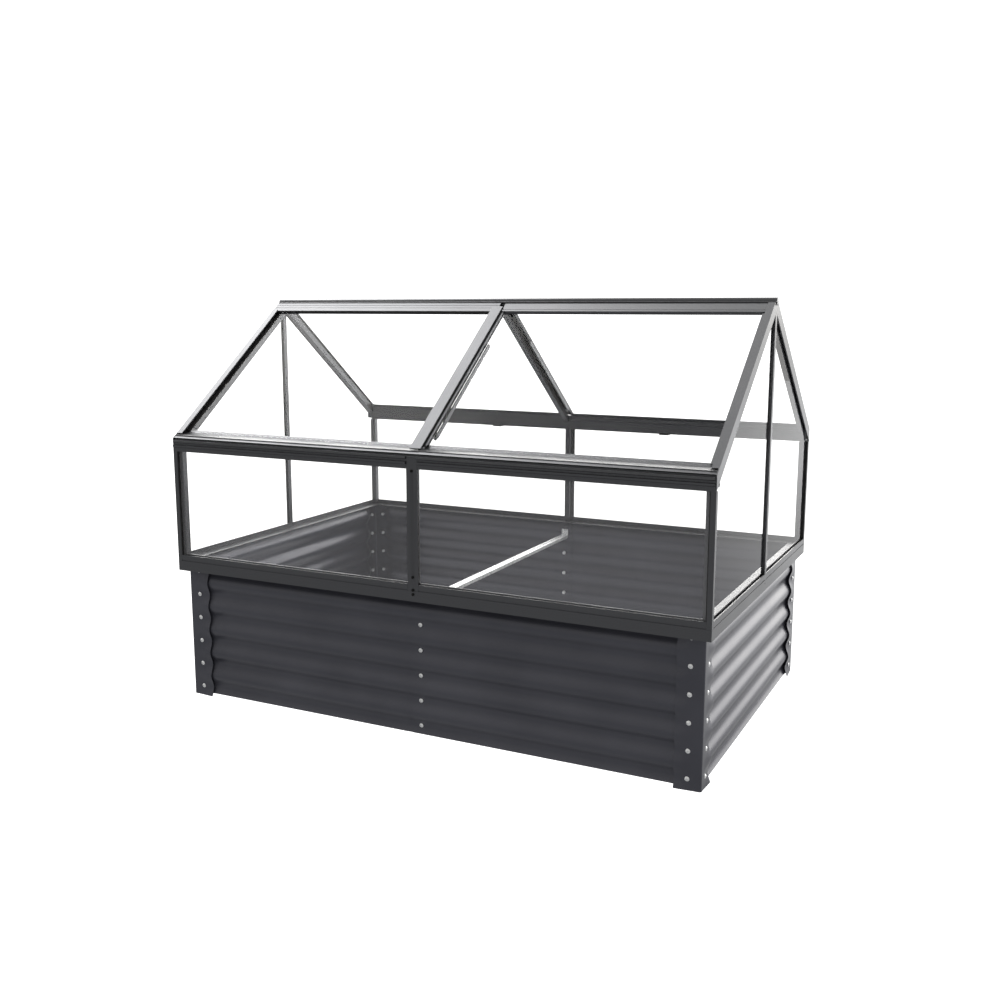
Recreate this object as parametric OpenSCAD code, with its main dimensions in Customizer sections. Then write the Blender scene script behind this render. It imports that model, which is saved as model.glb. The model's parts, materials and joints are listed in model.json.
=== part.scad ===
// Cold frame: a corrugated raised bed that carries a glazed house with a
// gable roof. Two roof panes of the right bay are lids hinged at the ridge.
// Origin: centre of the footprint on the ground, +Z up, front towards -Y.

/* [Bed] */
// Outside length of the bed, along X
bed_length = 1506; // [1200:10:2000]
// Outside depth of the bed, along Y
bed_depth = 982; // [800:2:1400]
// Height of the bed
bed_height = 400; // [264:68:604]
// Distance from crest to crest of the corrugated sheet
wave_pitch = 68; // [50:1:80]
// Height of the corrugation, crest to trough
wave_depth = 14; // [8:1:16]
// Thickness of the corrugated sheet
bed_sheet = 1; // [0.6:0.1:1.2]
// Width of each leg of a corner plate
corner_leg = 67; // [55:1:90]
// Thickness of a corner plate
corner_sheet = 1.5; // [1:0.1:2.5]
// Radius of the bend of a corner plate, outside
corner_bend = 6; // [4:0.5:10]
// Thickness of the flattened end of a bed panel
tab_sheet = 2.5; // [2:0.1:4]
// Width of the strap that ties the long walls
tie_width = 22; // [12:1:40]

/* [Bolts and screws] */
// Diameter of the bed bolts
bolt_d = 6; // [5:1:8]
// Diameter of the round bolt heads
bolt_head_d = 12; // [10:0.5:16]
// Height of a bolt head
bolt_head_h = 3.2; // [2:0.1:5]
// Height of the lowest bolt above the ground
first_bolt = 27; // [20:1:34]
// Distance from a corner of the bed to its bolts
bolt_inset = 34.5; // [25:0.5:45]
// Diameter of the screws in the middle posts
screw_d = 4; // [3:0.5:5]

/* [House] */
// How far the house stands out past the bed at its ends
end_overhang = 18; // [14:1:24]
// How far the house stands out past the bed at front and back
side_overhang = 21; // [16:1:30]
// Height of the outer top edge of the eaves
eave_height = 753; // [600:1:950]
// Slope of the roof
roof_angle = 36.87; // [30:0.01:42]
// Thickness of the glass
glass_t = 3; // [3:0.5:4]
// Wall of the square tubes
tube_wall = 2; // [1.2:0.1:3]
// Outside size of the square tubes
tube_size = 16; // [14:1:22]
// Thickness of the outer lips and caps
lip_t = 2.5; // [2:0.1:3.5]
// Width of the outer lips beside a corner
lip_width = 13; // [11:0.5:18]
// Width of the caps on the middle bars
cap_width = 32; // [24:1:44]
// Width of the bars in the gables
mullion_width = 16; // [14:1:24]

/* [Lids] */
// Diameter of the hinge bead
bead_d = 6; // [5:0.5:8]
// Angle by which a lid opens
lid_swing = 60; // [30:5:60]
// Gap beside a lid
lid_gap = 1.5; // [1:0.1:3]
// Width of the side bars of a lid
stile_width = 6; // [5:0.5:10]
// Length of a stay, pivot to tip
stay_length = 360; // [200:10:400]
// Diameter of the stay pivots
pivot_d = 6; // [4:0.5:8]

/* [Hidden] */

fit = 0.3;              // clearance between fixed pieces that must not touch
pivot_fit = 0.05;       // radial clearance of a pivot in its bore
big = 3000;             // longer than the whole object

// bed, worked out
half_bed_x = bed_length / 2;
half_bed_y = bed_depth / 2;
wave_segments = 12;     // straight pieces in one wave
panel_low = 7;          // a panel hangs this far above the ground
panel_high = bed_height - 2;
tab_length = corner_leg + 3;
wave_start = tab_length - 8;
tab_corner_gap = 8;     // from the bed's corner to the end of a tab
lap = 22;               // half of the overlap of two long panels
wave_rise = PI * (wave_depth - bed_sheet) / wave_pitch;  // steepest slope of the sheet
lap_step = (bed_sheet + 0.1) * sqrt(1 + wave_rise * wave_rise);  // between lapped panels
bolt_hole = bolt_d + 0.6;
bore_lead = 5;          // a bore starts this far outside the wall
bore_length = 60;
bolt_rows = floor((bed_height - first_bolt - bolt_head_d) / wave_pitch) + 1;
crest_depth = corner_sheet + 0.2;
trough_depth = crest_depth + wave_depth;
head_sag = wave_depth / 2 * (1 - cos(360 * bolt_head_d / 2 / wave_pitch));
nut_d = 10;
nut_h = 5;
tie_sheet = 2;
tie_leg = 5;
tie_height = first_bolt + (bolt_rows - 1) * wave_pitch - 12;
tie_tab_top = tie_height + 24;

// house, worked out
half_x = half_bed_x + end_overhang;
half_y = half_bed_y + side_overhang;
glass_set = 6;          // outer face of a wall pane behind the outer plane
tube_set = glass_set + glass_t;
tube_end = tube_set + tube_size;
corner_core = tube_set + 1;
corner_reach = max(lip_width, corner_core);  // the widest part of an upright at its outer planes
glass_edge = corner_reach + 0.5;
web_t = 6;
mullion_flange = 1.5;   // inner flange of a bar in a gable
sill_drop = 31;         // skirt hangs this far below the top of the bed
sill_sheet = 3;
shelf_t = 2.5;
sill_reach = max(tube_end, side_overhang + trough_depth) + 4;
groove_drop = 3;        // height of the shadow groove below the sill's lip
groove_set = 1.8;       // back of that groove behind the outer plane
lip_rise = 14;
stop_rise = 17;
stop_set = tube_set + 0.2;
stop_t = 2.5;
sill_cut_low = bed_height - sill_drop - 1;
sill_cut_high = bed_height + stop_rise + 1;
mitre_reach = 90;
shelf_top = bed_height + shelf_t;
glass_low = shelf_top + 0.2;
core_low = bed_height - groove_drop - 1;
bar_foot = core_low + fit;
eave_low = eave_height - 44;
eave_floor = eave_low + 6;
eave_shelf = eave_height - 11;
eave_edge = 9;          // outer top edge of the eave behind the outer plane
eave_inner = 37;        // inner face of the eave behind the outer plane
eave_wall = 2.5;
eave_end = half_x - 3;
cap_high = eave_height - 13;
clip_places = [-256, 329];
clip_length = 30;
clip_drop = 7;
clip_play = 5;          // from a clip to the inner face of the eave
screw_length = 7;
screw_play = 0.4;       // a screw's hole in a cap is this much wider
cap_screw_heights = [eave_low - 5, shelf_top + 30];
foot_screw_heights = [bar_foot + 3, bed_height - 12];

// roof, worked out: s runs down the slope from the apex, d into the house
slope = tan(roof_angle);
apex_z = eave_height + (half_y - eave_edge) * slope;
roof_glass_set = 10;
bed_strip = 3;          // rubber between roof glass and the tubes below it
roof_tube_set = roof_glass_set + glass_t + bed_strip;
roof_tube_end = roof_tube_set + tube_size;
roof_lip_width = 18;
gable_lip_depth = 30;
ledge_set = roof_glass_set + glass_t + 0.2;
ledge_t = 2.5;
s_eave_inner = ((half_y - eave_inner) + ledge_set * sin(roof_angle)) / cos(roof_angle);
s_glass_top = 46;
s_glass_low = s_eave_inner - 1;
s_cap_low = (half_y - 17) / cos(roof_angle);
s_cap_top = 38;
s_wing = 56;
wing_set = 3.5;
wing_t = 2.5;
crown_r = 9;
crown_z = apex_z - 9.5;
ridge_web = 4;
ridge_low = apex_z - 45;
ridge_end = half_x + 2;
ridge_flange = 32;      // width of the foot of the ridge
ridge_flange_t = 3;
wing_right = 2;         // the fixed wing ends this far right of the middle
wing_grooves = [30, 41];
wing_groove = 1.2;      // width and depth of those grooves
drip_t = 2.5;           // edge that turns down to the glass

// lids, worked out
s_bead = 16;
d_bead = 7;
ring_in = bead_d / 2 + 0.3;
ring_out = ring_in + 2;
neck_t = 1.6;
s_rail = s_bead + ring_out + 0.7;
lid_left = cap_width / 2 + lid_gap;
lid_right = half_x - roof_lip_width - lid_gap;
stile_set = 6;
stile_end = roof_tube_set - 0.5;
s_pivot = s_eave_inner - 55;
d_pivot = roof_tube_set + 6;
stay_t = 3;
stay_width = 12;
stay_x = lid_left + stile_width + 1;
eye_r = 8;              // half length of the eye that carries a stay
notch_d = 7;
notch_count = 3;
notch_step = 45;

// ---------- colours ----------
frame_colour = "#4a4a4b";
bed_colour = "#3b3b40";
zinc_colour = "#c9ccd0";
glass_colour = [0.82, 0.88, 0.88, 0.35];
rubber_colour = "#111112";

// ---------- helpers ----------
// A profile drawn in Y and Z, carried along X from x0 to x1
module along_x(x0, x1) {
    translate([x0, 0, 0])
        rotate([90, 0, 90])
            linear_extrude(x1 - x0)
                children();
}

// A profile drawn in X and Z, carried along Y from y0 to y1
module along_y(y0, y1) {
    translate([0, y1, 0])
        rotate([90, 0, 0])
            linear_extrude(y1 - y0)
                children();
}

// A rectangle from [a0, b0] to [a1, b1]
module rect(a0, a1, b0, b1) {
    translate([a0, b0])
        square([a1 - a0, b1 - b0]);
}

// A block between two corners
module block(x0, x1, y0, y1, z0, z1) {
    translate([x0, y0, z0])
        cube([x1 - x0, y1 - y0, z1 - z0]);
}

// A hollow rectangle
module box_section(a0, a1, b0, b1) {
    difference() {
        rect(a0, a1, b0, b1);
        rect(a0 + tube_wall, a1 - tube_wall, b0 + tube_wall, b1 - tube_wall);
    }
}

// Profile of the front side: first value is the depth behind the front plane
module front_profile() {
    translate([-half_y, 0])
        children();
}

// Roof profile in the YZ plane: first value is s, second is d
module roof_profile() {
    translate([0, apex_z])
        rotate(180 + roof_angle)
            children();
}

// Roof frame in space: X stays, Y becomes s, Z becomes d
module roof_frame() {
    translate([0, 0, apex_z])
        rotate([180 + roof_angle, 0, 0])
            children();
}

// Turns a front piece into its back twin
module at_side(side) {
    mirror([0, side == "back" ? 1 : 0, 0])
        children();
}

// Turns a right-hand piece into its left-hand twin
module at_end(end) {
    mirror([end == "left" ? 1 : 0, 0, 0])
        children();
}

// ---------- bed ----------
// Middle line of the corrugation at height z, as depth behind the bed's face
function wave_y(z, shift) = crest_depth + bed_sheet / 2 + (wave_depth - bed_sheet) / 2 + shift
    + (wave_depth - bed_sheet) / 2 * cos(360 * (z - first_bolt) / wave_pitch);

function wave_slope(z) = -(wave_depth - bed_sheet) / 2 * 2 * PI / wave_pitch
    * sin(360 * (z - first_bolt) / wave_pitch);

// A point on one face of the sheet: side is 1 for the inner face, -1 for the outer
function sheet_point(z, shift, side) = let (m = wave_slope(z), n = sqrt(1 + m * m))
    [wave_y(z, shift) + side * bed_sheet / 2 / n, z - side * bed_sheet / 2 * m / n];

wave_count = (panel_high - panel_low) / wave_pitch;
wave_points = round(wave_count * wave_segments);
wave_heights = [for (i = [0:wave_points])
    panel_low + (panel_high - panel_low) * i / wave_points];

// Section of a panel: depth behind the bed's face, height
module wave_section(shift) {
    polygon(concat(
        [for (z = wave_heights) sheet_point(z, shift, -1)],
        [for (i = [wave_points:-1:0]) sheet_point(wave_heights[i], shift, 1)]
    ));
}

// Flat end of a panel, bored for its bolts; run is the distance from the corner
module panel_tab(half_run) {
    block(half_run - tab_length, half_run - tab_corner_gap,
        corner_sheet, corner_sheet + tab_sheet, panel_low, panel_high);
}

// Bores along Y through a panel, at distance x from the middle
module bolt_bores(x, d) {
    for (row = [0:bolt_rows - 1])
        translate([x, -bore_lead, first_bolt + row * wave_pitch])
            rotate([-90, 0, 0])
                cylinder(h = bore_length, d = d, $fn = 24);
}

// Half of a long wall, drawn with its face on the XZ plane, right of the middle
module long_panel(shift) {
    difference() {
        union() {
            along_x(-lap, half_bed_x - wave_start)
                wave_section(shift);
            panel_tab(half_bed_x);
        }
        bolt_bores(half_bed_x - bolt_inset, bolt_hole);
        bolt_bores(0, bolt_hole);
    }
}

// A short wall, drawn with its face on the XZ plane
module end_panel() {
    difference() {
        union() {
            along_x(wave_start - half_bed_y, half_bed_y - wave_start)
                wave_section(0);
            panel_tab(half_bed_y);
            mirror([1, 0, 0])
                panel_tab(half_bed_y);
        }
        bolt_bores(half_bed_y - bolt_inset, bolt_hole);
        bolt_bores(bolt_inset - half_bed_y, bolt_hole);
    }
}

module bed_panel_long(side, end) {
    color(bed_colour)
        at_side(side)
            at_end(end)
                translate([0, -half_bed_y, 0])
                    long_panel(end == "left" ? lap_step : 0);
}

module bed_panel_end(end) {
    color(bed_colour)
        at_end(end)
            rotate([0, 0, 90])
                translate([0, -half_bed_x, 0])
                    end_panel();
}

// Corner plate: an angle with a rounded bend, legs along -X and +Y
module corner_section() {
    rect(corner_bend, corner_leg, 0, corner_sheet);
    rect(0, corner_sheet, corner_bend, corner_leg);
    intersection() {
        translate([corner_bend, corner_bend])
            difference() {
                circle(r = corner_bend, $fn = 48);
                circle(r = corner_bend - corner_sheet, $fn = 48);
            }
        square(corner_bend);
    }
}

module bed_corner(side, end) {
    color(bed_colour)
        at_side(side)
            at_end(end)
                difference() {
                    translate([half_bed_x, -half_bed_y, 0])
                        mirror([1, 0, 0])
                            linear_extrude(bed_height)
                                corner_section();
                    translate([0, -half_bed_y, 0])
                        bolt_bores(half_bed_x - bolt_inset, bolt_hole);
                    rotate([0, 0, 90])
                        translate([0, -half_bed_x, 0])
                            bolt_bores(bolt_inset - half_bed_y, bolt_hole);
                }
}

// Strap between the long walls, with a bent-up tab at each end
module tie_bar() {
    reach = half_bed_y - trough_depth - lap_step - fit;
    color(zinc_colour)
        difference() {
            union() {
                along_y(-reach, reach) {
                    rect(-tie_width / 2, tie_width / 2, tie_height - tie_sheet, tie_height);
                    for (sign = [-1, 1])
                        rect(sign * (tie_width - tie_sheet) / 2 - tie_sheet / 2,
                            sign * (tie_width - tie_sheet) / 2 + tie_sheet / 2,
                            tie_height - tie_leg, tie_height + tie_leg);
                }
                for (sign = [-1, 1])
                    block(-tie_width / 2, tie_width / 2,
                        sign * (reach - tie_sheet / 2) - tie_sheet / 2,
                        sign * (reach - tie_sheet / 2) + tie_sheet / 2,
                        tie_height - tie_sheet, tie_tab_top);
            }
            for (side = ["front", "back"])
                at_side(side)
                    translate([0, -half_bed_y, 0])
                        bolt_bores(0, bolt_hole);
        }
}

// Bolt along Y: head towards -Y, with its seat at y = 0
module bolt(grip) {
    dome_r = (bolt_head_h * bolt_head_h + bolt_head_d * bolt_head_d / 4) / (2 * bolt_head_h);
    rotate([-90, 0, 0])
        union() {
            cylinder(h = grip, d = bolt_d, $fn = 24);
            intersection() {
                translate([0, 0, dome_r - bolt_head_h])
                    sphere(r = dome_r, $fn = 48);
                translate([0, 0, -bolt_head_h])
                    cylinder(h = bolt_head_h, d = bolt_head_d, $fn = 32);
            }
        }
}

// Hexagon nut along Y, seat at y = 0
module nut() {
    rotate([-90, 0, 0])
        difference() {
            cylinder(h = nut_h, d = nut_d / cos(30), $fn = 6);
            translate([0, 0, -1])
                cylinder(h = nut_h + 2, d = bolt_d + 0.2, $fn = 24);
        }
}

corner_grip = corner_sheet + tab_sheet;
middle_seat = crest_depth + wave_depth - bed_sheet - head_sag;
middle_nut = trough_depth + lap_step + fit;

// Puts a piece at each bolt of the bed; deep is its depth at a corner, in the
// middle of a long wall it is deep_middle
module at_bed_bolts(deep, deep_middle) {
    for (row = [0:bolt_rows - 1]) {
        z = first_bolt + row * wave_pitch;
        for (side = ["front", "back"])
            at_side(side) {
                for (sign = [-1, 1])
                    translate([sign * (half_bed_x - bolt_inset), deep - half_bed_y, z])
                        children(0);
                translate([0, deep_middle - half_bed_y, z])
                    children(1);
            }
        for (end = ["left", "right"])
            at_end(end)
                rotate([0, 0, 90])
                    for (sign = [-1, 1])
                        translate([sign * (half_bed_y - bolt_inset), deep - half_bed_x, z])
                            children(0);
    }
}

module bed_bolts() {
    color(zinc_colour)
        at_bed_bolts(0, middle_seat) {
            bolt(corner_grip + nut_h + 2);
            bolt(middle_nut - middle_seat + tie_sheet + nut_h + 3);
        }
}

module bed_nuts() {
    color(zinc_colour)
        at_bed_bolts(corner_grip, middle_nut + tie_sheet) {
            nut();
            nut();
        }
}

// ---------- sills ----------
// Profile: depth behind the outer plane, height
module sill_profile() {
    rect(0, sill_sheet, bed_height - sill_drop, bed_height - groove_drop);
    rect(groove_set, groove_set + sill_sheet, bed_height - groove_drop - 2, shelf_top);
    rect(groove_set, sill_reach, bed_height, shelf_top);
    rect(0, sill_sheet, bed_height, bed_height + lip_rise);
    rect(stop_set, stop_set + stop_t, bed_height, bed_height + stop_rise);
}

// Sill on the front, half_run along X; the bar in its middle has a cap and a core this wide
module sill(out, half_run, cap, core) {
    translate([0, -out, 0])
        difference() {
            along_x(-half_run, half_run)
                sill_profile();
            for (sign = [-1, 1]) {
                // mitred ends
                translate([sign * half_run, 0, 0])
                    rotate([0, 0, sign * 45])
                        block(sign > 0 ? 0 : -mitre_reach, sign > 0 ? mitre_reach : 0,
                            -mitre_reach, mitre_reach, sill_cut_low, sill_cut_high);
                // room for the corner uprights
                translate([sign * half_run, 0, 0])
                    block(sign > 0 ? -corner_reach - fit : -1, sign > 0 ? 1 : corner_reach + fit,
                        -1, corner_reach + fit, core_low, sill_cut_high);
                translate([sign * half_run, 0, 0])
                    block(sign > 0 ? -tube_end - fit : -1, sign > 0 ? 1 : tube_end + fit,
                        -1 + tube_set, tube_end + fit, shelf_top, sill_cut_high);
            }
            // room for the post in the middle
            block(-cap / 2 - fit, cap / 2 + fit, -1, sill_sheet + 0.1, core_low, sill_cut_high);
            block(-core / 2 - fit, core / 2 + fit, tube_set - 0.1, tube_end,
                shelf_top, sill_cut_high);
            for (z = foot_screw_heights)
                translate([0, -1, z])
                    rotate([-90, 0, 0])
                        cylinder(h = screw_length + 2, d = screw_d + screw_play, $fn = 24);
        }
}

module sill_long(side) {
    color(frame_colour)
        at_side(side)
            sill(half_y, half_x, cap_width, tube_size);
}

module sill_end(end) {
    color(frame_colour)
        at_end(end)
            rotate([0, 0, 90])
                sill(half_x, half_y, mullion_width, mullion_width);
}

// ---------- uprights and posts ----------
// Lips and core of a corner bar: two outer planes meet at the origin
module corner_lips(lip_a, lip_b, core_a, core_b) {
    rect(0, lip_a, 0, lip_t);
    rect(0, lip_t, 0, lip_b);
    box_section(0, core_a, 0, core_b);
}

module upright(side, end) {
    color(frame_colour)
        at_side(side)
            at_end(end)
                translate([half_x, -half_y, 0])
                    mirror([1, 0, 0]) {
                        translate([0, 0, bar_foot])
                            linear_extrude(eave_low - bar_foot)
                                corner_lips(lip_width, lip_width, corner_core, corner_core);
                        translate([0, 0, shelf_top])
                            linear_extrude(eave_low - shelf_top)
                                box_section(tube_set, tube_end, tube_set, tube_end);
                    }
}

// Section of a middle bar: x from the middle, depth behind the outer plane
module bar_section(tube_depth, lip) {
    rect(-web_t / 2, web_t / 2, lip, tube_depth + 1);
    box_section(-tube_size / 2, tube_size / 2, tube_depth, tube_depth + tube_size);
}

module mid_post(side) {
    color(frame_colour)
        at_side(side)
            difference() {
                translate([0, -half_y, shelf_top])
                    linear_extrude(eave_low - shelf_top)
                        bar_section(tube_set, lip_t);
                for (z = cap_screw_heights)
                    screw_bore(z, screw_d);
            }
}

// Bore along Y for a cap screw in the front
module screw_bore(z, d) {
    translate([0, -half_y - 1, z])
        rotate([-90, 0, 0])
            cylinder(h = screw_length + 2, d = d, $fn = 24);
}

module post_cap(side) {
    color(frame_colour)
        at_side(side)
            difference() {
                block(-cap_width / 2, cap_width / 2, -half_y, lip_t - half_y, bar_foot, cap_high);
                for (z = concat(cap_screw_heights, foot_screw_heights))
                    screw_bore(z, screw_d + screw_play);
            }
}

// Pan-head screw along Y, seat at y = 0
module screw() {
    rotate([-90, 0, 0])
        union() {
            cylinder(h = screw_length, d = screw_d - 0.2, $fn = 24);
            translate([0, 0, -1.6])
                cylinder(h = 1.6, d = screw_d * 1.9, $fn = 32);
        }
}

module cap_screws() {
    color(rubber_colour)
        for (side = ["front", "back"])
            at_side(side)
                for (z = concat(cap_screw_heights, foot_screw_heights))
                    translate([0, -half_y, z])
                        screw();
}

// Keeps what lies more than d below the roof's outer plane, on both slopes
module under_roof(d) {
    intersection() {
        children();
        along_x(-big, big)
            polygon([
                [0, apex_z - d / cos(roof_angle)],
                [-half_y, apex_z - d / cos(roof_angle) - half_y * slope],
                [-half_y, 0],
                [half_y, 0],
                [half_y, apex_z - d / cos(roof_angle) - half_y * slope]
            ]);
    }
}

// Bar of H section between the two panes of a gable
module gable_mullion(end) {
    color(frame_colour)
        at_end(end) {
            under_roof(roof_tube_end + fit)
                translate([half_x, 0, shelf_top])
                    rotate([0, 0, 90])
                        linear_extrude(ridge_low - fit - shelf_top) {
                            rect(-web_t / 2, web_t / 2, 0, tube_set + 1);
                            rect(-mullion_width / 2, mullion_width / 2,
                                tube_set, tube_set + mullion_flange);
                        }
            under_roof(gable_lip_depth + fit)
                block(half_x - lip_t, half_x, -mullion_width / 2, mullion_width / 2,
                    bar_foot, apex_z);
        }
}

// ---------- eaves ----------
// Top band of an eave and the bottom rail of a lid, from its outer edge inwards
module top_band(edge, low) {
    difference() {
        polygon([
            [edge, low],
            [edge, eave_height + 1],
            [eave_inner - 1, eave_height + 4],
            [eave_inner, eave_height + 4],
            [eave_inner, low]
        ]);
        rect(eave_edge + eave_wall, eave_inner - eave_wall, low + 2, eave_height - 1.4);
    }
}

// Inclined ledge that carries the low edge of a roof pane
module glass_ledge() {
    translate([half_y, 0])
        intersection() {
            roof_profile()
                rect(0, s_eave_inner + 4, ledge_set, ledge_set + ledge_t);
            rect(eave_inner - 0.5 - half_y, eave_inner + 10 - half_y, 0, apex_z);
        }
}

// Fixed lower part of an eave
module eave_section() {
    difference() {
        polygon([
            [eave_inner, eave_floor], [eave_inner, eave_shelf],
            [eave_edge - fit, eave_shelf], [eave_edge - fit, eave_height - 1.5],
            [2, eave_height - 6], [5, eave_height - 9],
            [5, eave_shelf - 0.5], [-3, eave_shelf - 1],
            [-4, eave_shelf - 7], [1, eave_shelf - 9],
            [1, eave_shelf - 14], [-5, eave_shelf - 15],
            [-5, eave_shelf - 20], [0, eave_shelf - 22],
            [0, eave_low], [3, eave_low], [3, eave_low + 8.5],
            [tube_set, eave_low + 8.5], [tube_set, eave_low],
            [tube_set + 3, eave_low], [tube_set + 3, eave_floor]
        ]);
        rect(tube_set + 4, eave_inner - eave_wall, eave_floor + eave_wall, eave_shelf - 2);
    }
}

module eave(side) {
    color(frame_colour)
        at_side(side)
            difference() {
                union() {
                    along_x(-eave_end, eave_end)
                        front_profile()
                            eave_section();
                    along_x(-eave_end, lid_left - lid_gap)
                        front_profile()
                            top_band(eave_edge - 1, eave_shelf - 0.5);
                    along_x(tube_end + fit - half_x, -tube_size / 2 - fit)
                        front_profile()
                            glass_ledge();
                    along_x(lid_right + lid_gap, eave_end)
                        front_profile()
                            top_band(eave_edge - 1, eave_shelf - 0.5);
                }
                block(-cap_width / 2 - fit, cap_width / 2 + fit,
                    -half_y - 10, lip_t + fit - half_y, 0, cap_high + fit);
            }
}

// Retaining clips under the eaves, one to each pane
module eave_clips() {
    color(rubber_colour)
        for (side = ["front", "back"])
            at_side(side)
                for (x = clip_places)
                    block(x - clip_length / 2, x + clip_length / 2,
                        tube_set + 3 - half_y, eave_inner - clip_play - half_y,
                        eave_floor - clip_drop, eave_floor);
}

// ---------- ridge ----------
// Socket of a lid's bead, with a mouth from the closed lid to the open one
module bead_socket() {
    reach = ring_out * 2;
    side_play = 20;
    translate([s_bead, d_bead]) {
        circle(r = ring_in, $fn = 48);
        polygon(concat([[0, 0]], [for (a = [-lid_swing - side_play, -lid_swing / 2, 0, side_play])
            reach * [cos(a), sin(a)]]));
    }
}

// Crown of the ridge with a hook on each side
module crown_profile() {
    difference() {
        union() {
            translate([0, crown_z])
                circle(r = crown_r, $fn = 48);
            for (flip = [0, 1])
                mirror([flip, 0])
                    roof_profile()
                        translate([s_bead, d_bead])
                            circle(r = ring_out, $fn = 48);
        }
        for (flip = [0, 1])
            mirror([flip, 0])
                roof_profile()
                    bead_socket();
    }
}

// Fixed wing over the top edge of the left pane, on the front slope
module wing_profile() {
    difference() {
        union() {
            rect(10, s_wing, wing_set, wing_set + wing_t);
            rect(s_wing - drip_t, s_wing, wing_set, roof_glass_set - fit);
        }
        for (s = wing_grooves)
            rect(s, s + wing_groove, wing_set - 1, wing_set + wing_groove);
    }
}

module ridge() {
    color(frame_colour) {
        along_x(-ridge_end, ridge_end)
            crown_profile();
        along_x(-ridge_end, wing_right)
            for (flip = [0, 1])
                mirror([flip, 0])
                    roof_profile()
                        wing_profile();
        along_x(lip_t + 1 - half_x, half_x - lip_t - 1)
            rect(-ridge_web / 2, ridge_web / 2, ridge_low, crown_z);
        for (span = [[tube_end + fit - half_x, -tube_size / 2 - fit],
                     [tube_size / 2 + fit, half_x - tube_end - fit]])
            along_x(span[0], span[1])
                rect(-ridge_flange / 2, ridge_flange / 2, ridge_low, ridge_low + ridge_flange_t);
        along_x(tube_end + fit - half_x, -tube_size / 2 - fit)
            for (flip = [0, 1])
                mirror([flip, 0])
                    roof_profile()
                        rect(9, s_wing, ledge_set, ledge_set + ledge_t);
    }
}

// ---------- rafters ----------
// Space that the ridge takes at the head of a rafter, with or without a wing
module ridge_room(wing) {
    along_x(-big, big)
        translate([0, crown_z])
            circle(r = crown_r + fit, $fn = 48);
    roof_frame() {
        block(-big, big, -crown_r, s_bead + ring_out + fit, -crown_r, d_bead + ring_out + fit);
        if (wing)
            block(-big, big, -crown_r, s_wing, -crown_r, roof_glass_set + 0.2);
    }
}

module end_rafter(side, end) {
    color(frame_colour)
        at_side(side)
            at_end(end)
                difference() {
                    union() {
                        // roof lip, over the eave
                        roof_frame()
                            block(half_x - roof_lip_width, half_x, 0, s_cap_low, 0, lip_t);
                        // gable lip, down to the upright
                        intersection() {
                            roof_frame()
                                block(half_x - lip_t, half_x, 0, big, 0, gable_lip_depth);
                            block(0, big, -half_y, -0.1, eave_low + 0.1, apex_z);
                        }
                        // core and tube, up to the inner face of the eave
                        intersection() {
                            roof_frame()
                                along_y(0, big)
                                    translate([half_x, 0])
                                        mirror([1, 0]) {
                                            box_section(0, corner_core, 0, roof_tube_set + 1);
                                            box_section(tube_set, tube_end,
                                                roof_tube_set, roof_tube_end);
                                        }
                            block(0, big, eave_inner - half_y, -ridge_web / 2, 0, apex_z);
                        }
                    }
                    ridge_room(end == "left");
                    // the lips of front and back meet under the crown
                    block(-big, big, -0.1, big, 0, 2 * apex_z);
                }
}

module mid_rafter(side) {
    color(frame_colour)
        at_side(side)
            difference() {
                intersection() {
                    roof_frame()
                        along_y(0, big)
                            bar_section(roof_tube_set, lip_t + 0.5);
                    block(-big, big, eave_inner - half_y, -ridge_web / 2, 0, apex_z);
                }
                ridge_room(true);
            }
}

module rafter_cap(side) {
    color("#9b9b97")
        at_side(side)
            roof_frame()
                difference() {
                    block(-cap_width / 2, cap_width / 2, s_cap_top, s_cap_low, 0, lip_t + 0.5);
                    // bevelled head
                    translate([0, s_cap_top, 0])
                        rotate([-45, 0, 0])
                            block(-cap_width, cap_width, -5, 5, -5, 0);
                }
}

// ---------- glass ----------
module wall_glass(side, end) {
    color(glass_colour)
        at_side(side)
            at_end(end)
                block(web_t / 2 + 0.5, half_x - glass_edge,
                    glass_set - half_y, tube_set - half_y, glass_low, eave_low + 8);
}

module gable_glass(end, side) {
    color(glass_colour)
        at_side(side)
            at_end(end)
                difference() {
                    under_roof(roof_tube_set + 1.3)
                        block(half_x - tube_set, half_x - glass_set,
                            glass_edge - half_y, -web_t / 2 - 0.5, glass_low, apex_z);
                    block(0, big, -half_y, eave_inner + fit - half_y, eave_low - 0.2, apex_z);
                }
}

module roof_glass(side) {
    color(glass_colour)
        at_side(side)
            roof_frame()
                block(glass_edge - half_x, -web_t / 2 - 0.5, s_glass_top, s_glass_low,
                    roof_glass_set, roof_glass_set + glass_t);
}

// ---------- seals ----------
// Upright strip on the front plane, from x0 to x1 and from b0 to b1 deep
module wall_strip(x0, x1, b0, b1) {
    block(x0, x1, b0 - half_y, b1 - half_y, bed_height + lip_rise + 0.3, eave_low);
}

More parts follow.
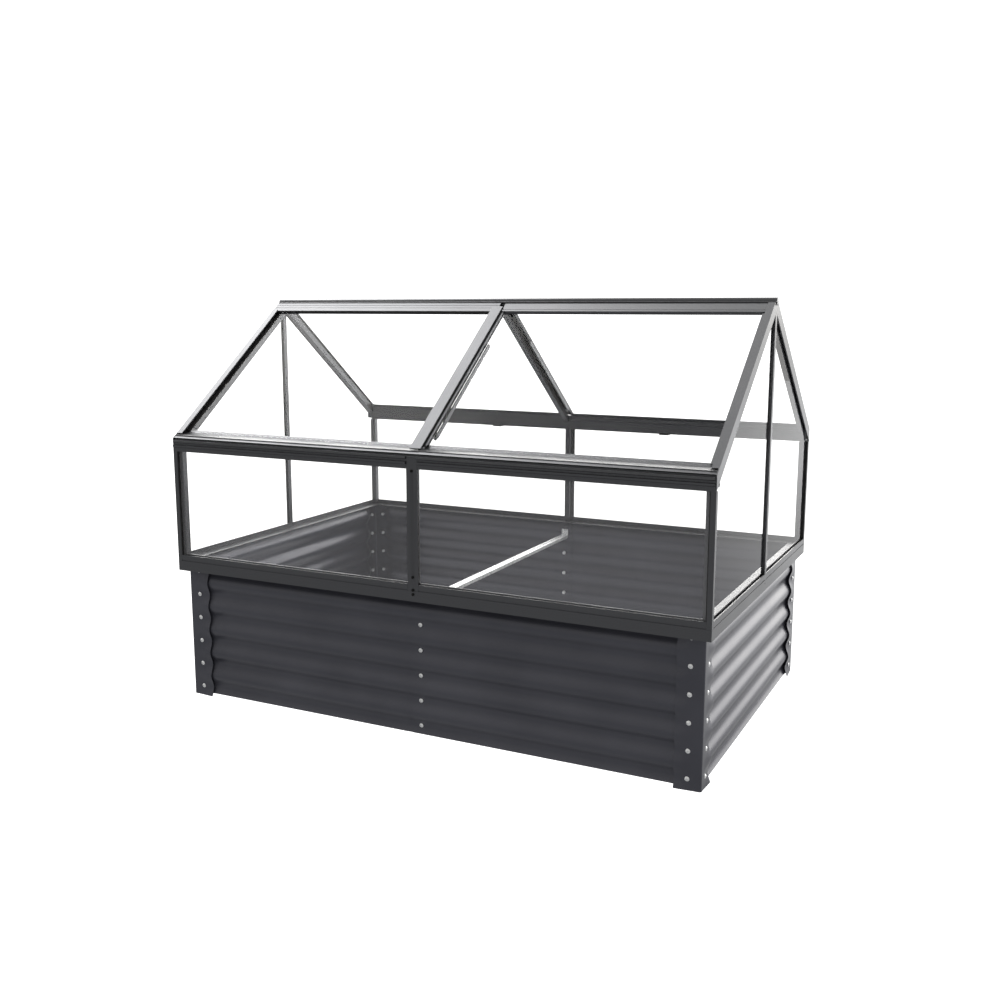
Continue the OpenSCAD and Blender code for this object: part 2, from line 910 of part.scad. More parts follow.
module glazing_seals() {
    strip = 2;
    color(rubber_colour) {
        for (side = ["front", "back"])
            at_side(side)
                for (end = ["left", "right"])
                    at_end(end) {
                        wall_strip(half_x - corner_reach - strip, half_x - corner_reach,
                            0.4, glass_set);
                        wall_strip(cap_width / 2 - 6, cap_width / 2, lip_t, glass_set);
                    }
        for (end = ["left", "right"])
            for (side = ["front", "back"])
                at_end(end)
                    at_side(side) {
                        rotate([0, 0, 90])
                            translate([0, half_y - half_x, 0])
                                wall_strip(half_y - corner_reach - strip, half_y - corner_reach,
                                    0.4, glass_set);
                    }
        for (side = ["front", "back"])
            at_side(side)
                roof_frame() {
                    // beside the left rafter, and under the cap on both sides
                    block(corner_core - half_x, corner_core + strip - half_x,
                        s_wing + 0.2, s_eave_inner - 1,
                        lip_t, roof_glass_set);
                    block(-cap_width / 2, -cap_width / 2 + 6, s_wing + 0.2, s_eave_inner - 1,
                        lip_t + 0.5, roof_glass_set);
                    block(web_t / 2, cap_width / 2, s_wing + 0.2, s_eave_inner - 1,
                        lip_t + 0.5, roof_glass_set);
                    block(half_x - roof_lip_width + 0.5, half_x - corner_core, s_wing + 0.2,
                        s_eave_inner - 1, lip_t, roof_glass_set);
                    // below the end of the wing
                    block(corner_core + strip + fit - half_x, -cap_width / 2 - fit, s_wing, s_wing + 2,
                        wing_set + 1.5, roof_glass_set);
                    // rubber bed between the left pane and the tubes
                    block(corner_core + fit - half_x, tube_end - half_x, s_wing + 5, s_eave_inner - 10,
                        roof_glass_set + glass_t, roof_tube_set);
                    block(-tube_size / 2, -web_t / 2, s_wing + 5, s_eave_inner - 10,
                        roof_glass_set + glass_t, roof_tube_set);
                }
    }
}

// ---------- lids ----------
// Head of a lid: bead, neck and rail over the top edge of the pane
module hinge_rail_profile() {
    translate([s_bead, d_bead])
        circle(d = bead_d, $fn = 48);
    rect(s_bead, s_rail + 1, d_bead - neck_t / 2, d_bead + neck_t / 2);
    rect(s_rail, s_rail + wing_t, wing_set, stile_end);
    difference() {
        rect(s_rail, s_wing, wing_set, wing_set + wing_t);
        rect(s_wing - 8, s_wing - 8 + wing_groove, wing_set - 1, wing_set + wing_groove);
    }
    rect(s_wing - drip_t, s_wing, wing_set, roof_glass_set - fit);
    rect(s_rail, s_wing - 4, ledge_set, stile_end);
}

module lid_frame(side) {
    color(frame_colour)
        at_side(side)
            difference() {
                union() {
                    along_x(lid_left, lid_right)
                        roof_profile()
                            hinge_rail_profile();
                    along_x(lid_left, lid_right)
                        front_profile()
                            top_band(eave_edge, eave_shelf + 1);
                    along_x(lid_left, half_x - tube_end - fit)
                        front_profile()
                            glass_ledge();
                    // side bars, grooved for the pane
                    intersection() {
                        roof_frame()
                            difference() {
                                union() {
                                    block(lid_left, lid_left + stile_width, s_rail, big,
                                        stile_set, stile_end);
                                    block(lid_right - stile_width, lid_right, s_rail, big,
                                        stile_set, stile_end);
                                    // eye of the stay
                                    block(lid_left, lid_left + stile_width,
                                        s_pivot - eye_r, s_pivot + eye_r,
                                        stile_end - 1, d_pivot + eye_r);
                                }
                                block(lid_left + 2, lid_right - 2, s_glass_top - fit, big,
                                    roof_glass_set - 0.1, roof_glass_set + glass_t + 0.1);
                            }
                        block(-big, big, eave_inner - 1.5 - half_y, 0, eave_shelf + 1, apex_z);
                    }
                }
                roof_frame()
                    translate([lid_left - 1, s_pivot, d_pivot])
                        rotate([0, 90, 0])
                            cylinder(h = stile_width + 2, d = pivot_d + 2 * pivot_fit, $fn = 48);
            }
}

module lid_glass(side) {
    color(glass_colour)
        at_side(side)
            roof_frame()
                block(lid_left + 2.5, lid_right - 2.5, s_glass_top, s_glass_low,
                    roof_glass_set, roof_glass_set + glass_t);
}

// Prop arm of a lid, stored along its side bar, with its own rivet
module stay(side) {
    color(zinc_colour)
        at_side(side)
            roof_frame()
                difference() {
                    union() {
                        translate([stay_x, s_pivot, d_pivot])
                            rotate([0, 90, 0])
                                linear_extrude(stay_t) {
                                    circle(d = stay_width, $fn = 48);
                                    translate([0, -stay_length])
                                        circle(d = stay_width, $fn = 48);
                                    translate([-stay_width / 2, -stay_length])
                                        square([stay_width, stay_length]);
                                }
                        // rivet
                        translate([lid_left - 1, s_pivot, d_pivot])
                            rotate([0, 90, 0])
                                cylinder(h = stay_x - lid_left + 2, d = pivot_d, $fn = 48);
                        translate([lid_left - 1, s_pivot, d_pivot])
                            rotate([0, 90, 0])
                                cylinder(h = 0.8, d = pivot_d + 3, $fn = 48);
                    }
                    // notches that drop over the edge of the sill or the eave
                    for (i = [1:notch_count])
                        translate([stay_x - 1, s_pivot - stay_length + i * notch_step,
                            d_pivot + stay_width / 2])
                            rotate([0, 90, 0])
                                cylinder(h = stay_t + 2, d = notch_d, $fn = 32);
                }
}

// ---------- the whole ----------
bed_corner("front", "left");  // bed_corner_front_left
bed_corner("front", "right");  // bed_corner_front_right
bed_corner("back", "left");  // bed_corner_back_left
bed_corner("back", "right");  // bed_corner_back_right
bed_panel_long("front", "left");  // bed_panel_front_left
bed_panel_long("front", "right");  // bed_panel_front_right
bed_panel_long("back", "left");  // bed_panel_back_left
bed_panel_long("back", "right");  // bed_panel_back_right
bed_panel_end("left");  // bed_panel_left
bed_panel_end("right");  // bed_panel_right
tie_bar();
bed_bolts();
bed_nuts();
sill_long("front");  // sill_front
sill_long("back");  // sill_back
sill_end("left");  // sill_left
sill_end("right");  // sill_right
upright("front", "left");  // upright_front_left
upright("front", "right");  // upright_front_right
upright("back", "left");  // upright_back_left
upright("back", "right");  // upright_back_right
mid_post("front");  // mid_post_front
mid_post("back");  // mid_post_back
post_cap("front");  // post_cap_front
post_cap("back");  // post_cap_back
eave("front");  // eave_front
eave("back");  // eave_back
ridge();
end_rafter("front", "left");  // end_rafter_front_left
end_rafter("front", "right");  // end_rafter_front_right
end_rafter("back", "left");  // end_rafter_back_left
end_rafter("back", "right");  // end_rafter_back_right
mid_rafter("front");  // mid_rafter_front
mid_rafter("back");  // mid_rafter_back
rafter_cap("front");  // rafter_cap_front
rafter_cap("back");  // rafter_cap_back
gable_mullion("left");  // gable_mullion_left
gable_mullion("right");  // gable_mullion_right
wall_glass("front", "left");  // wall_glass_front_left
wall_glass("front", "right");  // wall_glass_front_right
wall_glass("back", "left");  // wall_glass_back_left
wall_glass("back", "right");  // wall_glass_back_right
roof_glass("front");  // roof_glass_front
roof_glass("back");  // roof_glass_back
gable_glass("left", "front");  // gable_glass_left_front
gable_glass("left", "back");  // gable_glass_left_back
gable_glass("right", "front");  // gable_glass_right_front
gable_glass("right", "back");  // gable_glass_right_back
glazing_seals();
cap_screws();
eave_clips();
lid_frame("front");  // lid_frame_front
lid_frame("back");  // lid_frame_back
lid_glass("front");  // lid_glass_front
lid_glass("back");  // lid_glass_back
stay("front");  // stay_front
stay("back");  // stay_back
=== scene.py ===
# %% [markdown]
# # Cold frame
# A cold frame is a small glasshouse that stands on a raised bed. The bed is corrugated steel
# sheet bolted to four corner plates, and the house is glass held in aluminium bars. Its two
# right-hand roof panes are lids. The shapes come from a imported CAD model, which is loaded as a
# fixed frame and never moved. What CAD draws plainly, such as pressed sheet, is made again here
# as surfaces, because a pressed sheet is a formula in two parameters.

# %% Load the frame
import json
import math
import bmesh
import bpy
import numpy as np
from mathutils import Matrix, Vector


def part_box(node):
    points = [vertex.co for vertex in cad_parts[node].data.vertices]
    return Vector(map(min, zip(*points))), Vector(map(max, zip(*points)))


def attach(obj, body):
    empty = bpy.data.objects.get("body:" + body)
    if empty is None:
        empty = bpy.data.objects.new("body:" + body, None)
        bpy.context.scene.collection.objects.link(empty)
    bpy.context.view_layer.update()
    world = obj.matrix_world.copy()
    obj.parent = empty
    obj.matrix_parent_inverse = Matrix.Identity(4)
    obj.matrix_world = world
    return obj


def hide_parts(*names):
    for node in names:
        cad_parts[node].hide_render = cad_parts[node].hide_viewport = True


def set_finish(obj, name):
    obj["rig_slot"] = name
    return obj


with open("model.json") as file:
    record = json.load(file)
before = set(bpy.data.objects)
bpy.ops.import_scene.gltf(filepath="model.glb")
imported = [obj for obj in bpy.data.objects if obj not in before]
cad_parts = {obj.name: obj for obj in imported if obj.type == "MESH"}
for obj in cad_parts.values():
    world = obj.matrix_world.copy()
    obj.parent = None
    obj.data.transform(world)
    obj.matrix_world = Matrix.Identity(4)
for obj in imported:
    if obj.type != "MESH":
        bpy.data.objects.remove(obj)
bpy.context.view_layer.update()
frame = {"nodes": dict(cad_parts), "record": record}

# %% [markdown]
# ## Camera
# The camera comes first, because every later choice is judged through it. It stands to the
# right of the front, about as high as the ridge, so that the front, the right gable and the
# inside of the bed show together. A small lens shift frames the object without turning
# the camera, which keeps the uprights where they are.

# %% Camera
CAMERA_PLACE = (1.4005, -2.8548, 1.1082)
CAMERA_TURN = 26.59      # degrees to the left of straight back
CAMERA_DIP = 9.83        # degrees below the horizon

camera_data = bpy.data.cameras.new("camera")
camera_data.lens = 39.87
camera_data.sensor_width = 36
camera_data.shift_x = 0.0065
camera_data.shift_y = -0.0022
camera = bpy.data.objects.new("camera", camera_data)
camera.location = CAMERA_PLACE
camera.rotation_euler = (math.radians(90 - CAMERA_DIP), 0, math.radians(CAMERA_TURN))
bpy.context.scene.collection.objects.link(camera)
bpy.context.scene.camera = camera
bpy.context.scene.view_settings.view_transform = "Standard"
print("camera", tuple(round(c, 3) for c in camera.location), "lens", camera_data.lens)

# %% [markdown]
# ## Sizes
# The frame gives the places: the bed's faces and the panels' heights are read from its nodes.
# The few sizes that no box can give, such as the pitch of the corrugation, are named here in
# millimetres and turned to metres once.

# %% Sizes
MM = 0.001
low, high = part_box("bed_corner_front_right")
BED_HALF_X = high.x
BED_HALF_Y = -low.y
BED_TOP = high.z
PANEL_LOW, PANEL_HIGH = (corner.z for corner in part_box("bed_panel_front_right"))
CORNER_LEG = high.x - low.x
CORNER_SHEET = 1.5 * MM
CORNER_BEND = 6 * MM
PANEL_SHEET = 1.0 * MM
WAVE_PITCH = 68 * MM
WAVE_DEPTH = 13 * MM
CREST_DEPTH = 1.7 * MM
FIRST_BOLT = 27 * MM
BOLT_INSET = 34.5 * MM
BOLT_ROWS = int((BED_TOP - FIRST_BOLT - 12 * MM) / WAVE_PITCH) + 1
TAB_GAP = 8 * MM         # from the bed's corner to the end of a panel
LAP = 22 * MM            # half of the overlap of two long panels
LAP_STEP = 1.28 * MM     # the left sheet lies this far behind the right one
print("bed", round(2 * BED_HALF_X, 4), "x", round(2 * BED_HALF_Y, 4), "rows of bolts", BOLT_ROWS)

# %% [markdown]
# ## Closed sheets
# A pressed sheet is a grid of points for its outer face and another for its inner face. Joined
# along their borders, the two grids make one closed skin, which a Solidify modifier would also
# give, but here each face keeps its own formula. The enclosed volume tells which way the faces
# point: it is negative when they point inwards, and then every face is turned over.

# %% Sheet helpers
def smooth(value, start, end):
    """0 before start, 1 after end, and 3t^2 - 2t^3 in between, where t is the share of the way."""
    t = np.clip((value - start) / (end - start), 0, 1)
    return t * t * (3 - 2 * t)


def grid_faces(rows, columns):
    """Four corners of each cell of a grid whose point k is row * columns + column."""
    k = np.arange(rows * columns).reshape(rows, columns)
    return np.stack([k[:-1, :-1], k[:-1, 1:], k[1:, 1:], k[1:, :-1]], -1).reshape(-1, 4)


def border_faces(rows, columns):
    """Quads that join the border of a grid to the border of a second grid stored after it."""
    k = np.arange(rows * columns).reshape(rows, columns)
    walk = np.concatenate([k[0, :-1], k[:-1, -1], k[-1, :0:-1], k[:0:-1, 0]])
    ahead = np.roll(walk, -1)
    second = rows * columns
    return np.stack([ahead, walk, walk + second, ahead + second], -1)


def mesh_piece(name, points, faces, crease=35):
    """A piece from points and faces; the faces are turned over if the volume they enclose,
    the sum of a . (b x c) / 6 over their triangles, comes out negative."""
    a, b, c, d = (points[faces[:, i]] for i in range(4))
    volume = (np.einsum("ij,ij->", a, np.cross(b, c)) + np.einsum("ij,ij->", a, np.cross(c, d))) / 6
    if volume < 0:
        faces = faces[:, ::-1]
    mesh = bpy.data.meshes.new(name)
    mesh.from_pydata(points.tolist(), [], faces.tolist())
    mesh.validate()
    mesh.shade_smooth()
    mesh.set_sharp_from_angle(angle=math.radians(crease))
    piece = bpy.data.objects.new(name, mesh)
    bpy.context.scene.collection.objects.link(piece)
    return piece


def closed_sheet(name, outer, inner):
    """A closed sheet between two grids of points, each of shape (rows, columns, 3)."""
    rows, columns = outer.shape[:2]
    cells = grid_faces(rows, columns)
    faces = np.concatenate([cells, cells[:, ::-1] + rows * columns, border_faces(rows, columns)])
    return mesh_piece(name, np.concatenate([outer.reshape(-1, 3), inner.reshape(-1, 3)]), faces)


def surface_normals(grid):
    """Unit normals of a grid of points: the cross product of its two gradients."""
    normal = np.cross(np.gradient(grid, axis=1), np.gradient(grid, axis=0))
    return normal / np.linalg.norm(normal, axis=-1, keepdims=True)


print("a closed sheet of 3 x 3 points has", len(grid_faces(3, 3)) * 2 + len(border_faces(3, 3)), "faces")

# %% [markdown]
# ## The pressed shapes
# Corrugated sheet follows a cosine: crests stand out at the bed's face and troughs lie behind
# it, with a bolt in each trough. Near a corner the wave dies out. The corner plate is flat at
# its bend and takes up the wave towards its free edge, where it stands a little proud. The
# panel is pressed to the same shape behind the plate and opens to its full depth beyond it.
# Both are written as a depth behind the bed's face, from the height and the distance along the
# wall to the corner.

# %% Depth formulas
PLATE_WAVE = 8.6 * MM    # depth of the plate's wave at its free edge
PLATE_PROUD = 4 * MM     # how far its crests stand out there
NEST_GAP = 0.08 * MM     # between the plate and the panel pressed behind it


def wave(z):
    """0 at a crest and 1 at a trough, which is where the bolts are: (1 + cos 2 pi t) / 2."""
    return (1 + np.cos(2 * np.pi * (z - FIRST_BOLT) / WAVE_PITCH)) / 2


def plate_depth(run, z):
    """Depth of a corner plate's outer face: its wave less its proud edge, both grown from the
    bend by the smooth share of the leg that lies before run."""
    grown = smooth(run, TAB_GAP, CORNER_LEG)
    return PLATE_WAVE * grown**1.2 * wave(z) - PLATE_PROUD * grown


def panel_depth(run, z, behind):
    """Depth of a panel's outer face: nested behind the plate near the corner, and the full wave
    further on. Behind is the extra depth where two long panels lap."""
    nested = plate_depth(np.minimum(run, CORNER_LEG), z) + CORNER_SHEET + NEST_GAP
    full = CREST_DEPTH + WAVE_DEPTH * wave(z) + behind
    share = smooth(run, 40 * MM, 76 * MM)
    return (1 - share) * nested + share * full


bolt_seat = float(plate_depth(BOLT_INSET, FIRST_BOLT))
print("a corner bolt sits", round(bolt_seat / MM, 2), "mm behind the bed's face")

# %% [markdown]
# ## Corner plates
# Each corner plate is one strip of steel folded round the corner. It is a profile carried up
# the corner: the first parameter runs along one leg, round the bend and along the other leg,
# and the second is the height. Drawing it so, and not as two flat plates, keeps the light
# running smoothly round the bend.

# %% Corner plates
def plate_section(leg_points=34, bend_points=11):
    """Plan of a corner plate with its corner at the origin and legs along +X and +Y. Returns its
    points, its outward directions and each point's run, the distance to the corner."""
    runs = np.linspace(CORNER_LEG, CORNER_BEND, leg_points)
    turn = np.linspace(0, np.pi / 2, bend_points)[1:-1]
    flat = np.zeros(leg_points)
    arc = CORNER_BEND * (1 - np.stack([np.sin(turn), np.cos(turn)], -1))
    plan = np.concatenate([np.stack([runs, flat], -1), arc, np.stack([flat, runs[::-1]], -1)])
    out = np.concatenate([
        np.tile([0.0, -1.0], (leg_points, 1)),
        -np.stack([np.sin(turn), np.cos(turn)], -1),
        np.tile([-1.0, 0.0], (leg_points, 1)),
    ])
    return plan, out, np.concatenate([runs, np.zeros(len(turn)), runs[::-1]])


def corner_plate(name, sign_x, sign_y):
    """The plate of one corner: its section carried from the ground to the top of the bed, each
    point moved inwards by its depth, and the corner turned out to its side by the two signs."""
    plan, out, run = plate_section()
    heights = np.linspace(0, BED_TOP, 151)
    depth = plate_depth(run[None, :], heights[:, None])
    outer = np.empty((len(heights), len(plan), 3))
    outer[..., :2] = plan[None] - out[None] * depth[..., None]
    outer[..., 2] = heights[:, None]
    normal = surface_normals(outer)
    normal[..., 2] = 0
    inwards = normal * -np.sign(np.einsum("ijk,jk->ij", normal[..., :2], out))[..., None]
    inner = outer + inwards * CORNER_SHEET
    for grid in (outer, inner):
        grid[..., 0] = sign_x * (BED_HALF_X - grid[..., 0])
        grid[..., 1] = sign_y * (BED_HALF_Y - grid[..., 1])
    return closed_sheet(name, outer, inner)


bed_pieces = []
for side, sign_y in (("front", -1), ("back", 1)):
    for end, sign_x in (("left", -1), ("right", 1)):
        plate = corner_plate(f"corner_plate_{side}_{end}", sign_x, sign_y)
        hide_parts(f"bed_corner_{side}_{end}")
        bed_pieces.append(plate)
print("corner plates", len(bed_pieces), "with", len(bed_pieces[0].data.polygons), "faces each")

# %% [markdown]
# ## Bed panels
# A panel is one corrugated sheet. Points lie close together where it is pressed, near a corner
# and at the lap, and far apart along the plain run. The two long walls have two sheets each,
# which lap in the middle: the left one is set back by its own thickness there, as a fitter
# would tuck it behind the other.

# %% Bed panels
def panel_heights():
    """Heights from the bottom to the top of a panel, 26 to each wave."""
    return np.linspace(PANEL_LOW, PANEL_HIGH, int((PANEL_HIGH - PANEL_LOW) / WAVE_PITCH * 26))


def panel_grids(along, half_wall, behind):
    """Outer and inner faces of a panel on a wall along X with its face at y = 0: the inner face
    is the outer one moved in by the sheet along its own normal."""
    z = panel_heights()
    depth = panel_depth(half_wall - np.abs(along)[None, :], z[:, None], behind[None, :])
    outer = np.stack(np.broadcast_arrays(along[None, :], depth, z[:, None]), -1).copy()
    normal = surface_normals(outer)
    normal[..., 0] = 0
    inner = outer + normal * np.sign(normal[..., 1:2]) * PANEL_SHEET
    return outer, inner


def pressed_run(end):
    """Places along a wall from its pressed end to where the plain wave starts, 2 mm apart."""
    return np.arange(end - TAB_GAP, end - 80 * MM, -2 * MM)


def long_panel(name, sign_x, sign_y):
    """Half of a long wall, from its corner to the lap."""
    pressed = pressed_run(BED_HALF_X)
    along = np.concatenate([pressed, np.linspace(pressed[-1], 60 * MM, 24)[1:-1],
                            np.linspace(60 * MM, -LAP, 22)])
    tucked = LAP_STEP if sign_x < 0 else 0.0
    behind = tucked * (1 - smooth(along, LAP + 4 * MM, LAP + 24 * MM))
    outer, inner = panel_grids(along, BED_HALF_X, behind)
    for grid in (outer, inner):
        grid[..., 0] *= sign_x
        grid[..., 1] = sign_y * (BED_HALF_Y - grid[..., 1])
    return closed_sheet(name, outer, inner)


def end_panel(name, sign_x):
    """A short wall, from corner to corner, turned to lie across X."""
    pressed = pressed_run(BED_HALF_Y)
    plain = np.linspace(pressed[-1], -pressed[-1], 30)[1:-1]
    along = np.concatenate([pressed, plain, -pressed[::-1]])
    outer, inner = panel_grids(along, BED_HALF_Y, np.zeros(len(along)))
    turned = []
    for grid in (outer, inner):
        across = sign_x * (BED_HALF_X - grid[..., 1])
        turned.append(np.stack([across, grid[..., 0], grid[..., 2]], -1))
    return closed_sheet(name, *turned)


for end, sign_x in (("left", -1), ("right", 1)):
    for side, sign_y in (("front", -1), ("back", 1)):
        panel = long_panel(f"panel_{side}_{end}", sign_x, sign_y)
        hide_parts(f"bed_panel_{side}_{end}")
        bed_pieces.append(panel)
    panel = end_panel(f"panel_{end}", sign_x)
    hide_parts(f"bed_panel_{end}")
    bed_pieces.append(panel)
for piece in bed_pieces:
    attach(piece, "frame")
    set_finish(piece, "bed_steel")
print("panels", len(bed_pieces) - 4, "faces", sum(len(p.data.polygons) for p in bed_pieces))

# %% [markdown]
# ## Bolts
# The bed is bolted with button-head screws: a low dome with a hexagon socket. A bolt is turned,
# so it is a profile carried round an axis, and the socket is the same profile with its radius
# given by the outline of a hexagon instead of a circle. The same bolt is made at every place,
# all in one mesh.

# %% Bolts
BOLT_RADIUS = 3 * MM
HEAD_RADIUS = 6 * MM
HEAD_HEIGHT = 3.2 * MM
SOCKET_HALF = 2 * MM     # from the middle of the hexagon to a flat


def hexagon(angle):
    """Radius of a hexagon with a half width of 1: 1 / cos of the angle from the nearest flat."""
    return 1 / np.cos((angle + np.pi / 6) % (np.pi / 3) - np.pi / 6)


def bolt_grid(grip, turns=24):
    """Points of a bolt along +Y with its seat at y = 0 and its head towards -Y, as rows of rings
    from the tip of the shank to the middle of the socket."""
    angle = np.linspace(0, 2 * np.pi, turns, endpoint=False)
    lift = np.linspace(0, 1, 8)
    dome = np.stack([HEAD_RADIUS + (SOCKET_HALF * 1.25 - HEAD_RADIUS) * np.sin(lift * np.pi / 2) ** 1.4,
                     -HEAD_HEIGHT * (0.25 + 0.75 * np.sin(lift * np.pi / 2))], -1)
    round_rows = np.concatenate([
        [[0.0, grip], [BOLT_RADIUS * 0.8, grip], [BOLT_RADIUS, grip - 0.6 * MM], [BOLT_RADIUS, 0.0],
         [HEAD_RADIUS * 0.97, 0.0]],
        dome,
    ])
    socket_rows = np.array([[SOCKET_HALF, -HEAD_HEIGHT], [SOCKET_HALF, -HEAD_HEIGHT + 1.8 * MM],
                            [0.0, -HEAD_HEIGHT + 2.2 * MM]])
    ones = np.ones_like(angle)
    radius = np.concatenate([np.outer(round_rows[:, 0], ones), np.outer(socket_rows[:, 0], hexagon(angle))])
    along = np.concatenate([round_rows[:, 1], socket_rows[:, 1]])[:, None] * ones
    return np.stack([radius * np.cos(angle), along, radius * np.sin(angle)], -1)


def bolt_faces(rows, turns):
    """Cells of a grid that closes on itself round the axis."""
    k = np.arange(rows * turns).reshape(rows, turns)
    k = np.concatenate([k, k[:, :1]], 1)
    return np.stack([k[:-1, :-1], k[:-1, 1:], k[1:, 1:], k[1:, :-1]], -1).reshape(-1, 4)


def bolt_places():
    """(place of the seat, outward direction, grip) of every bolt of the bed."""
    places = []
    middle_seat = CREST_DEPTH + WAVE_DEPTH - 0.9 * MM
    for row in range(BOLT_ROWS):
        z = FIRST_BOLT + row * WAVE_PITCH
        for sign in (-1, 1):
            places.append(((0, sign * (BED_HALF_Y - middle_seat), z), (0, sign), 16 * MM))
            for other in (-1, 1):
                places.append(((other * (BED_HALF_X - BOLT_INSET), sign * (BED_HALF_Y - bolt_seat), z),
                               (0, sign), 10 * MM))
                places.append(((sign * (BED_HALF_X - bolt_seat), other * (BED_HALF_Y - BOLT_INSET), z),
                               (sign, 0), 10 * MM))
    return places


def all_bolts(name):
    """Every bolt in one mesh: each is the same grid, turned so that its head looks outwards."""
    points, faces, start = [], [], 0
    for place, (out_x, out_y), grip in bolt_places():
        grid = bolt_grid(grip)
        x, along, z = grid[..., 0], grid[..., 1], grid[..., 2]
        turned = np.stack([-out_x * along - out_y * x, -out_y * along + out_x * x, z], -1)
        points.append(turned.reshape(-1, 3) + np.array(place))
        faces.append(bolt_faces(*grid.shape[:2]) + start)
        start += grid.shape[0] * grid.shape[1]
    return mesh_piece(name, np.concatenate(points), np.concatenate(faces), crease=30)


def merge_poles(piece):
    """Merges the points that fall together at the two ends of every axis."""
    work = bmesh.new()
    work.from_mesh(piece.data)
    bmesh.ops.remove_doubles(work, verts=work.verts, dist=0.01 * MM)
    work.to_mesh(piece.data)
    work.free()


bolts = all_bolts("button_bolts")
merge_poles(bolts)
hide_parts("bed_bolts")
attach(bolts, "frame")
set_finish(bolts, "zinc_steel")
print("bolts", len(bolt_places()), "faces", len(bolts.data.polygons))

# %% [markdown]
# ## Broken edges
# Extruded bars and cut sheet never have a perfectly sharp edge, and the narrow line of light
# along an edge is what makes metal look like metal. The CAD meshes are loose triangles, so on
# the caps, the ridge, the eaves, the tie bar and the stays a Weld modifier joins them first, and
# a Bevel then breaks each edge sharper than 40 degrees. Glass keeps its ground edges, and the
# seals are soft, so both stay as they are, and so do the other bars.

# %% Edges
EDGE = {"post_cap": 0.5, "rafter_cap": 0.5, "ridge": 0.3, "eave": 0.4, "tie_bar": 0.3, "stay": 0.3}


def break_edges(node, width):
    """Weld and bevel on a CAD node, which leaves its mesh as it is."""
    weld = node.modifiers.new("weld", "WELD")
    weld.merge_threshold = 0.005 * MM
    bevel = node.modifiers.new("bevel", "BEVEL")
    bevel.width = width * MM
    bevel.segments = 2
    bevel.limit_method = "ANGLE"
    bevel.angle_limit = math.radians(40)
    bevel.use_clamp_overlap = True


bevelled = 0
for name, node in frame["nodes"].items():
    for start, width in EDGE.items():
        if name.startswith(start) and name != "eave_clips":
            break_edges(node, width)
            bevelled += 1
print("nodes with broken edges", bevelled)

# %% [markdown]
# ## Materials
# Each material begins with what the real one is and how its surface was made. Colours are
# written as screen hex values, and one function turns them to the linear values that light
# works in. A second function adds a node with its settings and links, so that a material reads
# from top to bottom.

# %% Material helpers
def linear(colour):
    """A screen hex colour as linear light: c / 12.92 when dark, else ((c + 0.055) / 1.055)^2.4."""
    parts = [int(colour[i:i + 2], 16) / 255 for i in (1, 3, 5)]
    return tuple(c / 12.92 if c < 0.04045 else ((c + 0.055) / 1.055) ** 2.4 for c in parts) + (1.0,)


def add_node(tree, kind, sockets=None, links=None, **settings):
    """Adds one node: settings are its own choices, sockets the values of its inputs, and links
    the outputs that feed its inputs."""
    node = tree.nodes.new(kind)
    for key, value in settings.items():
        setattr(node, key, value)
    for key, value in (sockets or {}).items():
        node.inputs[key].default_value = value
    for key, output in (links or {}).items():
        tree.links.new(output, node.inputs[key])
    return node


def new_material(name):
    """An empty material with its tree and Object coordinates."""
    material = bpy.data.materials.new(name)
    material.use_nodes = True
    tree = material.node_tree
    tree.nodes.clear()
    place = add_node(tree, "ShaderNodeTexCoord").outputs["Object"]
    return material, tree, place


def give_surface(tree, shader):
    """Sends a shader to the material's surface."""
    add_node(tree, "ShaderNodeOutputMaterial", links={"Surface": shader})


def per_metre(size_mm):
    """Scale of a noise whose cells are this many millimetres across."""
    return 1 / (size_mm * MM)


print("mid grey in linear light", round(linear("#808080")[0], 3))

# %% [markdown]
# ## Powder-coated aluminium
# The house is extruded aluminium, sprayed with a fine metallic powder in anthracite and baked.
# The coat is satin: it mirrors a bright ceiling as a pale grey and a dim room as a deep one, so
# it is drawn as a dark metal with a rough gloss. Melted powder leaves an orange-peel skin of
# waves about 1 mm across, drawn 3 mm across here so that it shows as a fine grain.

# %% Powder coat
PEEL_MM = 3.0
FLAKE_MM = 1.6
BATCH_MM = 240


def powder_coated_aluminium():
    """Dark metallic flakes in a satin coat with an orange-peel skin."""
    material, tree, place = new_material("powder_coated_aluminium_anthracite")
    batch = add_node(tree, "ShaderNodeTexNoise", {"Scale": per_metre(BATCH_MM), "Detail": 2.0},
                     {"Vector": place})
    flake = add_node(tree, "ShaderNodeTexNoise", {"Scale": per_metre(FLAKE_MM), "Detail": 3.0},
                     {"Vector": place})
    peel = add_node(tree, "ShaderNodeTexNoise", {"Scale": per_metre(PEEL_MM), "Detail": 2.0},
                    {"Vector": place})
    tone = add_node(tree, "ShaderNodeValToRGB", links={"Fac": flake.outputs["Fac"]})
    tone.color_ramp.elements[0].position = 0.3
    tone.color_ramp.elements[0].color = linear("#4d4e51")
    tone.color_ramp.elements[1].position = 0.72
    tone.color_ramp.elements[1].color = linear("#5f6063")
    gloss = add_node(tree, "ShaderNodeMapRange",
                     {"From Min": 0.3, "From Max": 0.7, "To Min": 0.30, "To Max": 0.38},
                     {"Value": batch.outputs["Fac"]})
    bump = add_node(tree, "ShaderNodeBump", {"Strength": 0.12, "Distance": 0.05 * MM},
                    {"Height": peel.outputs["Fac"]})
    coat = add_node(tree, "ShaderNodeBsdfPrincipled", {"Metallic": 0.85},
                    {"Base Color": tone.outputs["Color"], "Roughness": gloss.outputs["Result"],
                     "Normal": bump.outputs["Normal"]})
    give_surface(tree, coat.outputs["BSDF"])
    return material


POWDER = powder_coated_aluminium()
print("made", POWDER.name)

